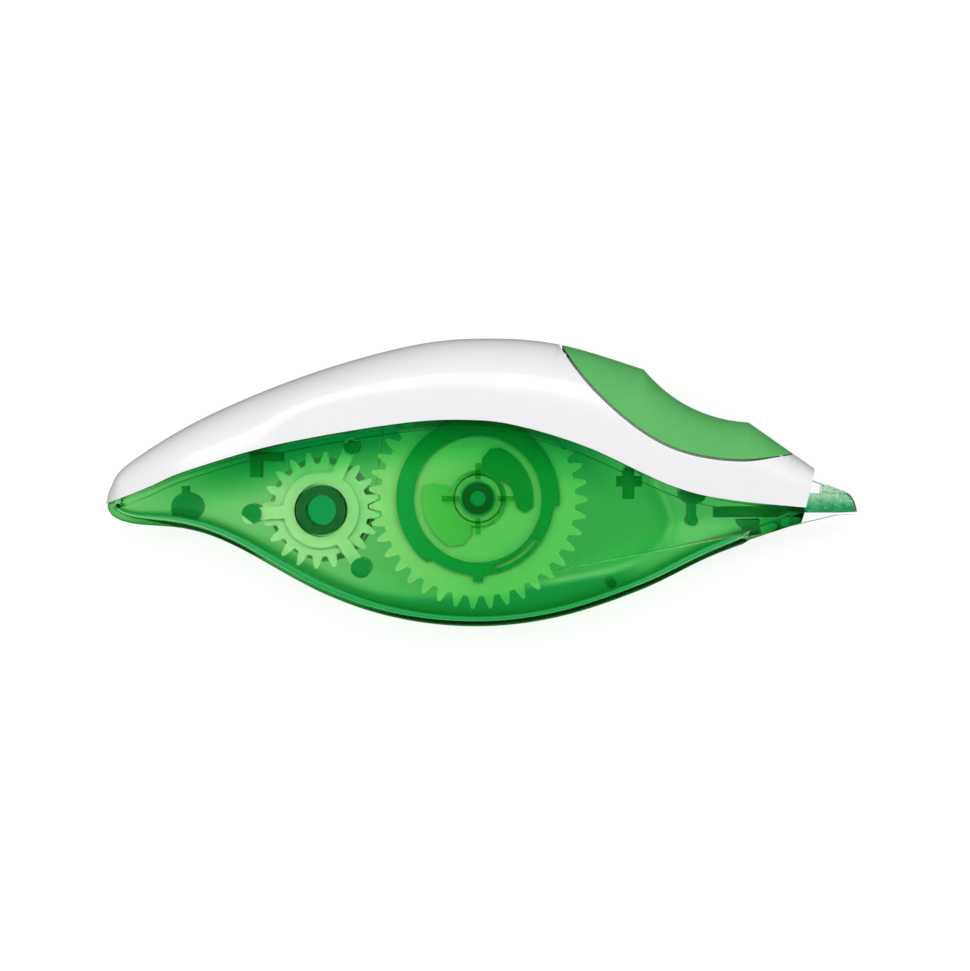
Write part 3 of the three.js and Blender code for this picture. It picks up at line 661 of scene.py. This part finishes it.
class Finish:
    """A material with its nodes, and the few kinds of detail that the finishes share."""

    def __init__(self, name, colour, roughness, **settings):
        self.material = bpy.data.materials.new(name)
        self.material.use_nodes = True
        self.tree = self.material.node_tree
        self.shader = self.tree.nodes["Principled BSDF"]
        self.shader.inputs["Base Color"].default_value = (*colour, 1)
        self.shader.inputs["Roughness"].default_value = roughness
        for label, value in settings.items():
            socket = label.replace("_", " ").title().replace("Ior", "IOR")
            self.shader.inputs[socket].default_value = value
        self.place = self.node("ShaderNodeTexCoord").outputs["Object"]

    def node(self, kind, **settings):
        made = self.tree.nodes.new(kind)
        for label, value in settings.items():
            setattr(made, label, value)
        return made

    def link(self, output, socket):
        self.tree.links.new(output, socket)

    def colour(self, source):
        self.link(source, self.shader.inputs["Base Color"])

    def mottle(self, size, first, second):
        """Base colour that drifts between two, in patches of a size in millimetres."""
        self.colour(self.blend(self.noise(size), first, second))

    def roughness(self, size, low, high):
        """Roughness that drifts from low to high, in patches of a size in millimetres."""
        self.link(self.spread(self.noise(size), low, high), self.shader.inputs["Roughness"])

    def coordinate(self, vector, axis):
        split = self.node("ShaderNodeSeparateXYZ")
        self.link(vector, split.inputs["Vector"])
        return split.outputs[axis]

    def calculate(self, operation, *sources):
        made = self.node("ShaderNodeMath", operation=operation)
        for source, socket in zip(sources, made.inputs):
            self.link(source, socket)
        return made.outputs[0]

    def share(self, source, start, end):
        """0 where the source is at the start, 1 where it is at the end, and even between them."""
        made = self.node("ShaderNodeMapRange")
        made.inputs["From Min"].default_value = start
        made.inputs["From Max"].default_value = end
        self.link(source, made.inputs["Value"])
        return made.outputs["Result"]

    def mix(self, share, first, second):
        """Colour from the first socket's to a fixed second as the share goes from 0 to 1."""
        made = self.blend(share, (0, 0, 0), second)
        self.link(first, made.node.inputs["A"])
        return made

    def noise(self, size, detail=3.0):
        """Noise with features of a size in millimetres."""
        made = self.node("ShaderNodeTexNoise")
        made.inputs["Scale"].default_value = 1 / (size * MM)
        made.inputs["Detail"].default_value = detail
        self.link(self.place, made.inputs["Vector"])
        return made.outputs["Fac"]

    def rings(self, centre, spacing):
        """Rings round an upright axis through a centre, with a spacing in millimetres."""
        centred = self.node("ShaderNodeMapping")
        centred.inputs["Location"].default_value = (-centre[0] * MM, -centre[1] * MM, 0)
        self.link(self.place, centred.inputs["Vector"])
        made = self.node("ShaderNodeTexWave", wave_type="RINGS", rings_direction="Z")
        made.inputs["Scale"].default_value = WAVE_PERIOD / (spacing * MM)
        made.inputs["Distortion"].default_value = 0.3
        self.link(centred.outputs["Vector"], made.inputs["Vector"])
        return made.outputs["Fac"]

    def spread(self, source, low, high):
        """A 0 to 1 value stretched to run from low to high."""
        made = self.node("ShaderNodeMapRange")
        made.inputs["To Min"].default_value = low
        made.inputs["To Max"].default_value = high
        self.link(source, made.inputs["Value"])
        return made.outputs["Result"]

    def blend(self, source, first, second):
        """Colour from first to second as the source goes from 0 to 1."""
        made = self.node("ShaderNodeMix", data_type="RGBA")
        self.link(source, made.inputs["Factor"])
        made.inputs["A"].default_value = (*first, 1)
        made.inputs["B"].default_value = (*second, 1)
        return made.outputs["Result"]

    def ramp(self, source, stops):
        """Colours at rising values of the source, evenly blended."""
        made = self.node("ShaderNodeValToRGB")
        set_stops(made, stops)
        self.link(source, made.inputs["Fac"])
        return made.outputs["Color"]

    def let_lamps_through(self, colour):
        """Lamps shine straight through, tinted, where true glass would cast a black shadow."""
        path = self.node("ShaderNodeLightPath")
        open_glass = self.node("ShaderNodeBsdfTransparent")
        open_glass.inputs["Color"].default_value = (*colour, 1)
        choice = self.node("ShaderNodeMixShader")
        self.link(path.outputs["Is Shadow Ray"], choice.inputs["Fac"])
        self.link(self.shader.outputs["BSDF"], choice.inputs[1])
        self.link(open_glass.outputs["BSDF"], choice.inputs[2])
        self.link(choice.outputs["Shader"], self.tree.nodes["Material Output"].inputs["Surface"])

    def bump(self, source, height):
        """Relief of a height in millimetres."""
        made = self.node("ShaderNodeBump")
        made.inputs["Distance"].default_value = height * MM
        self.link(source, made.inputs["Height"])
        self.link(made.outputs["Normal"], self.shader.inputs["Normal"])


SHELL_GREENS = [(0.0, (0.62, 0.88, 0.54)), (0.5, (0.21, 0.70, 0.27)), (1.0, (0.02, 0.45, 0.18))]
SHELL_EDGE_GREEN = (0.004, 0.34, 0.055)
FLAT_FROM, TURNED_FROM = 0.85, 0.3  # how upright the surface's normal is on the flat and at the edge


def shell_finish():
    """Clear green plastic. Lamps shine through it, and it looks deeper green where it turns away."""
    finish = Finish("green_shell", (0.42, 0.76, 0.42), 0.04, transmission_weight=1.0, ior=1.22,
                    specular_tint=(0.2, 0.8, 0.3, 1))
    shade = finish.node("ShaderNodeAttribute", attribute_name=SHADE).outputs["Fac"]
    normal = finish.node("ShaderNodeNewGeometry").outputs["Normal"]
    upright = finish.calculate("ABSOLUTE", finish.coordinate(normal, "Z"))
    turned_away = finish.share(upright, FLAT_FROM, TURNED_FROM)
    finish.colour(finish.mix(turned_away, finish.ramp(shade, SHELL_GREENS), SHELL_EDGE_GREEN))
    finish.roughness(6, 0.05, 0.12)
    finish.let_lamps_through((0.70, 0.86, 0.66))
    return finish.material


def scaled(colour, share):
    return [value * share for value in colour]


def moulding_finish(name, colour):
    """Solid green plastic."""
    finish = Finish(name, colour, 0.3, specular_ior_level=0.3)
    finish.mottle(3, scaled(colour, 0.85), scaled(colour, 1.12))
    finish.roughness(0.6, 0.25, 0.45)
    return finish.material


WING_SHADE_START, WING_SHADE_FULL = -7.0, 3.0  # sum of x and y, where the painted shade starts at the lower left and where it is full at the upper right


def wing_finish():
    """Green plastic of the clutch spring, paler towards its lower left and deepened towards its upper
    right by painted shade from the cover.
    """
    finish = Finish("clutch_spring_moulding_painted_shade", (0.03, 0.45, 0.18), 0.3, specular_ior_level=0.3)
    x, y = finish.coordinate(finish.place, "X"), finish.coordinate(finish.place, "Y")
    # painted shade: the green deepens from the lower left to the upper right, towards the cover
    across = finish.share(finish.calculate("ADD", x, y), WING_SHADE_START * MM, WING_SHADE_FULL * MM)
    finish.colour(finish.blend(across, (0.30, 0.62, 0.28), (0.004, 0.33, 0.12)))
    finish.roughness(0.6, 0.25, 0.45)
    return finish.material


def cover_finish():
    """Glossy white plastic."""
    finish = Finish("white_cover", (0.86, 0.86, 0.875), 0.2, coat_weight=0.2, coat_roughness=0.15)
    finish.mottle(14, (0.84, 0.84, 0.857), (0.875, 0.875, 0.885))
    finish.roughness(1.2, 0.16, 0.28)
    finish.bump(finish.noise(0.9, 1.0), 0.004)
    return finish.material


def rubber_finish():
    """Matt green rubber with a fine grain."""
    finish = Finish("grip_rubber", (0.10, 0.46, 0.115), 0.62, specular_ior_level=0.35)
    finish.mottle(5, (0.095, 0.44, 0.11), (0.115, 0.49, 0.13))
    finish.roughness(0.4, 0.52, 0.7)
    finish.bump(finish.noise(0.22, 1.0), 0.02)
    return finish.material


TIP_GREENS = [(0.1, (0.02, 0.30, 0.12)), (0.4, (0.14, 0.55, 0.27)), (0.85, (0.80, 0.93, 0.78))]
TIP_UNEVEN = 0.45


def tip_finish():
    """Clear plastic with an uneven green cast, deeper at the foot of the tip than at its top."""
    finish = Finish("clear_tip", (0.3, 0.6, 0.4), 0.06, transmission_weight=1.0, ior=1.45)
    height = finish.share(finish.coordinate(finish.place, "Y"), TIP_FOOT * MM, TIP_TOP * MM)
    patches = finish.spread(finish.noise(1.1, 2.0), -TIP_UNEVEN, TIP_UNEVEN)
    finish.colour(finish.ramp(finish.calculate("ADD", height, patches), TIP_GREENS))
    finish.roughness(1.0, 0.03, 0.1)
    finish.bump(finish.noise(0.7, 1.0), 0.12)
    finish.let_lamps_through((0.75, 0.92, 0.80))
    return finish.material


def acetal_finish(name, colour):
    """Slightly waxy plastic of the gears and the core."""
    finish = Finish(name, colour, 0.4, subsurface_weight=0.2)
    finish.shader.inputs["Subsurface Radius"].default_value = (0.001, 0.001, 0.001)
    finish.mottle(4, scaled(colour, 0.94), scaled(colour, 1.04))
    finish.roughness(0.5, 0.32, 0.5)
    return finish.material


def tape_finish():
    """White tape."""
    finish = Finish("white_tape", (0.90, 0.90, 0.89), 0.55)
    finish.mottle(0.7, (0.87, 0.87, 0.86), (0.92, 0.92, 0.91))
    finish.roughness(0.3, 0.45, 0.65)
    return finish.material


def liner_finish():
    """Used backing paper, slightly glossy."""
    finish = Finish("tape_liner", (0.80, 0.83, 0.79), 0.35)
    finish.mottle(1.5, (0.76, 0.80, 0.75), (0.83, 0.85, 0.81))
    finish.roughness(0.4, 0.28, 0.45)
    return finish.material


LAYER_SPACING = 0.35


def wound_finish(name, centre, dark, light):
    """Tape wound on a core. Its layers show as fine rings round the centre."""
    finish = Finish(name, light, 0.5)
    layers = finish.rings(centre, LAYER_SPACING)
    finish.colour(finish.blend(layers, dark, light))
    finish.roughness(0.5, 0.4, 0.6)
    finish.bump(layers, 0.02)
    return finish.material


TABLE_WHITE = (0.3, 0.3, 0.3)
TABLE_REFLECTED = (0.04, 0.14, 0.06)
TABLE_GLOW = 0.78


def floor_finish():
    """White table, lit from below. Its glow is seen, also through clear pieces, but lights nothing.

    Reflections show it dark, so that the edges of the object stand out against it.
    """
    finish = Finish("white_table", TABLE_WHITE, 0.9, specular_ior_level=0.0)
    path = finish.node("ShaderNodeLightPath").outputs
    finish.colour(finish.blend(path["Is Glossy Ray"], TABLE_WHITE, TABLE_REFLECTED))
    finish.shader.inputs["Emission Color"].default_value = (1, 1, 1, 1)
    seen = finish.calculate("MAXIMUM", path["Is Camera Ray"], path["Is Transmission Ray"])
    finish.link(finish.spread(seen, 0.0, TABLE_GLOW), finish.shader.inputs["Emission Strength"])
    return finish.material


# ---------------------------------------------------------------- the carried-over CAD pieces


BROKEN_EDGE = 0.08


def dress(thing, material):
    """Gives a CAD piece its material and softly broken edges."""
    thing.data.materials.clear()
    thing.data.materials.append(material)
    thing.data.shade_smooth()
    flatten = thing.modifiers.new("whole_faces", "DECIMATE")
    flatten.decimate_type = "DISSOLVE"
    flatten.angle_limit = math.radians(1)
    bevel = thing.modifiers.new("broken_edges", "BEVEL")
    bevel.width = BROKEN_EDGE * MM
    bevel.segments = 2
    bevel.limit_method = "ANGLE"
    bevel.angle_limit = math.radians(35)
    normals = thing.modifiers.new("even_normals", "WEIGHTED_NORMAL")
    normals.keep_sharp = False


# ---------------------------------------------------------------- stage, lights and camera


FLOOR_HALF = 4.0  # metres
FLOOR_DROP = 0.2


def make_floor():
    work = bmesh.new()
    bmesh.ops.create_grid(work, x_segments=8, y_segments=8, size=FLOOR_HALF)
    mesh = bpy.data.meshes.new("floor")
    work.to_mesh(mesh)
    work.free()
    floor = bpy.data.objects.new("floor", mesh)
    floor.location.z = -FLOOR_DROP * MM
    floor.data.materials.append(floor_finish())
    bpy.context.scene.collection.objects.link(floor)


def make_lamp(name, place, size, power):
    """Area lamp that shines at the object from a place in metres."""
    lamp = bpy.data.lights.new(name, "AREA")
    lamp.shape = "RECTANGLE"
    lamp.size, lamp.size_y = size
    lamp.energy = power
    thing = bpy.data.objects.new(name, lamp)
    thing.location = place
    thing.rotation_euler = (-Vector(place)).to_track_quat("-Z", "Y").to_euler()
    thing.visible_camera = False
    bpy.context.scene.collection.objects.link(thing)


# Brightness of the surroundings by how far up one looks, from 0 at the horizon to 1 straight up.
SKY = [(0.0, 0.36), (0.35, 0.50), (0.65, 0.84), (0.86, 0.84), (0.95, 0.04), (1.0, 0.03)]
SEEN_WHITE = (1.1, 1.1, 1.1, 1)


def make_world():
    """Soft studio tent, dark at the opening straight above. To the camera it is plain white."""
    world = bpy.data.worlds.new("studio")
    world.use_nodes = True
    tree = world.node_tree
    background = tree.nodes["Background"]
    coordinates = tree.nodes.new("ShaderNodeTexCoord")
    split = tree.nodes.new("ShaderNodeSeparateXYZ")
    ramp = tree.nodes.new("ShaderNodeValToRGB")
    tree.links.new(coordinates.outputs["Generated"], split.inputs["Vector"])
    tree.links.new(split.outputs["Z"], ramp.inputs["Fac"])
    set_stops(ramp, [(height, [brightness] * 3) for height, brightness in SKY])
    path = tree.nodes.new("ShaderNodeLightPath")
    choice = tree.nodes.new("ShaderNodeMix")
    choice.data_type = "RGBA"
    tree.links.new(path.outputs["Is Camera Ray"], choice.inputs["Factor"])
    tree.links.new(ramp.outputs["Color"], choice.inputs["A"])
    choice.inputs["B"].default_value = SEEN_WHITE
    tree.links.new(choice.outputs["Result"], background.inputs["Color"])
    bpy.context.scene.world = world


FRAME_WIDTH = 164.9  # of the picture, measured at the case's middle plane
FRAME_CENTRE = (0.51, -0.51)
LENS = 180.0
SENSOR = 36.0


def make_camera():
    camera = bpy.data.cameras.new("camera")
    camera.lens = LENS
    camera.sensor_width = SENSOR
    thing = bpy.data.objects.new("camera", camera)
    distance = FRAME_WIDTH * LENS / SENSOR
    thing.location = (FRAME_CENTRE[0] * MM, FRAME_CENTRE[1] * MM, (MIDDLE + distance) * MM)
    bpy.context.scene.collection.objects.link(thing)
    bpy.context.scene.camera = thing


# ---------------------------------------------------------------- putting it together


def main():
    finishes = {
        "green_shell": shell_finish(),
        "clutch_moulding": moulding_finish("light_green_moulding", (0.004, 0.37, 0.15)),
        "wing_moulding": wing_finish(),
        "post_moulding": moulding_finish("green_moulding", (0.003, 0.27, 0.10)),
        "axle_moulding": moulding_finish("deep_green_moulding", (0.002, 0.11, 0.045)),
        "white_cover": cover_finish(),
        "grip_rubber": rubber_finish(),
        "clear_tip": tip_finish(),
        "white_moulding": acetal_finish("white_acetal", (0.62, 0.75, 0.66)),
        # Same pale green acetal as the drive gear, darkened by painted shade to sit with the shaded
        # gear disc round it.
        "core_moulding_painted_shade": acetal_finish("core_acetal_painted_shade", (0.40, 0.60, 0.38)),
        "pale_moulding": acetal_finish("pale_green_acetal", (0.68, 0.74, 0.58)),
        "white_tape": tape_finish(),
        "tape_liner": liner_finish(),
        "wound_tape": wound_finish(
            "wound_white_tape", DRIVE_CENTRE, (0.74, 0.74, 0.73), (0.92, 0.92, 0.91),
        ),
        "wound_liner": wound_finish(
            "wound_liner", TAKE_UP_CENTRE, (0.62, 0.66, 0.61), (0.83, 0.85, 0.81),
        ),
    }
    slots = {
        "front_shell": "green_shell", "back_shell": "green_shell", "spine_cover": "white_cover",
        "grip_pad": "grip_rubber", "fresh_tape_strand": "white_tape", "used_tape_strand": "tape_liner",
    }
    for node, piece in {**make_case(), **make_tape()}.items():
        piece.data.materials.append(finishes[slots[node]])
        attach(piece, "case")
        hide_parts(node)
    node_finish = {
        "applicator_tip": "clear_tip",
        "drive_gear": "pale_moulding",
        # the core's finish is the gear's acetal with painted shade
        "supply_core": "core_moulding_painted_shade",
        "clutch_ring": "clutch_moulding",
        "clutch_spring": "wing_moulding",
        "supply_axle": "axle_moulding",
        "take_up_axle": "axle_moulding",
        "take_up_retainer": "white_moulding",
        "take_up_gear": "white_moulding",
        "tape_roll": "wound_tape",
        "used_tape_winding": "wound_liner",
    }
    for name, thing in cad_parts.items():
        if name not in slots:
            dress(thing, finishes[node_finish.get(name, "post_moulding")])
    make_floor()
    make_world()
    make_lamp("key", (-0.05, 0.24, 0.8), (0.9, 0.25), 3.0)
    make_lamp("fill", (0.4, -0.35, 0.6), (0.5, 0.5), 0.8)
    make_camera()
    scene = bpy.context.scene
    scene.view_settings.view_transform = "Standard"
    scene.cycles.max_bounces = 16
    scene.cycles.transmission_bounces = 14
    scene.cycles.transparent_max_bounces = 24


main()
